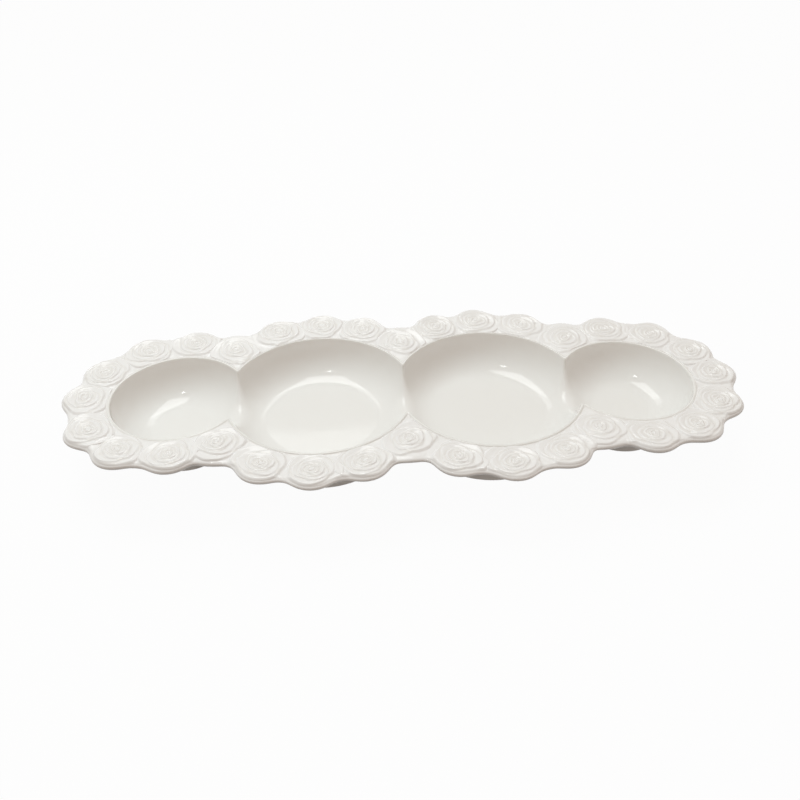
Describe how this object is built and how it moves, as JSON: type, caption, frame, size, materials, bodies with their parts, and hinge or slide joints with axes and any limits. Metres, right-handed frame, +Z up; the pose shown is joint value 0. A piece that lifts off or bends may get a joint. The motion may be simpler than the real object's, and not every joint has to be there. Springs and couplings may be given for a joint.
{
  "type": "divided serving dish",
  "caption": "Long glazed ceramic serving dish with round wells in a row, dipping dividers between them and a scalloped border of relief roses, on foot rings.",
  "frame": {"origin": "middle of the dish's box at the table, under the dividing wall of the two large bowls", "axes": "+X along the row of bowls to the right, +Y to the back, +Z up out of the bowls"},
  "size_m": [0.4314, 0.1784, 0.0422],
  "materials": {
    "bowl_glaze": "smooth clear gloss glaze over a white body",
    "relief_glaze": "clear gloss glaze that pools in the folds of the relief",
    "foot_glaze": "gloss glaze, wiped off the standing face"
  },
  "bodies": {
    "root": {"bowl_small_left": "bowl_glaze", "bowl_large_left": "bowl_glaze", "bowl_large_right": "bowl_glaze", "bowl_small_right": "bowl_glaze", "divider_left": "bowl_glaze", "divider_middle": "bowl_glaze", "divider_right": "bowl_glaze", "border": "relief_glaze", "foot_small_left": "foot_glaze", "foot_large_left": "foot_glaze", "foot_large_right": "foot_glaze", "foot_small_right": "foot_glaze", "rose_01": "relief_glaze", "rose_02": "relief_glaze", "rose_03": "relief_glaze", "rose_04": "relief_glaze", "rose_05": "relief_glaze", "rose_06": "relief_glaze", "rose_07": "relief_glaze", "rose_08": "relief_glaze", "rose_09": "relief_glaze", "rose_10": "relief_glaze", "rose_11": "relief_glaze", "rose_12": "relief_glaze", "rose_13": "relief_glaze", "rose_14": "relief_glaze", "rose_15": "relief_glaze", "rose_16": "relief_glaze", "rose_17": "relief_glaze", "rose_18": "relief_glaze", "rose_19": "relief_glaze", "rose_20": "relief_glaze", "rose_21": "relief_glaze", "rose_22": "relief_glaze", "rose_23": "relief_glaze", "rose_24": "relief_glaze", "rose_25": "relief_glaze", "rose_26": "relief_glaze", "rose_27": "relief_glaze", "rose_28": "relief_glaze", "rose_29": "relief_glaze", "rose_30": "relief_glaze", "rose_31": "relief_glaze", "rose_32": "relief_glaze"}
  },
  "joints": []
}
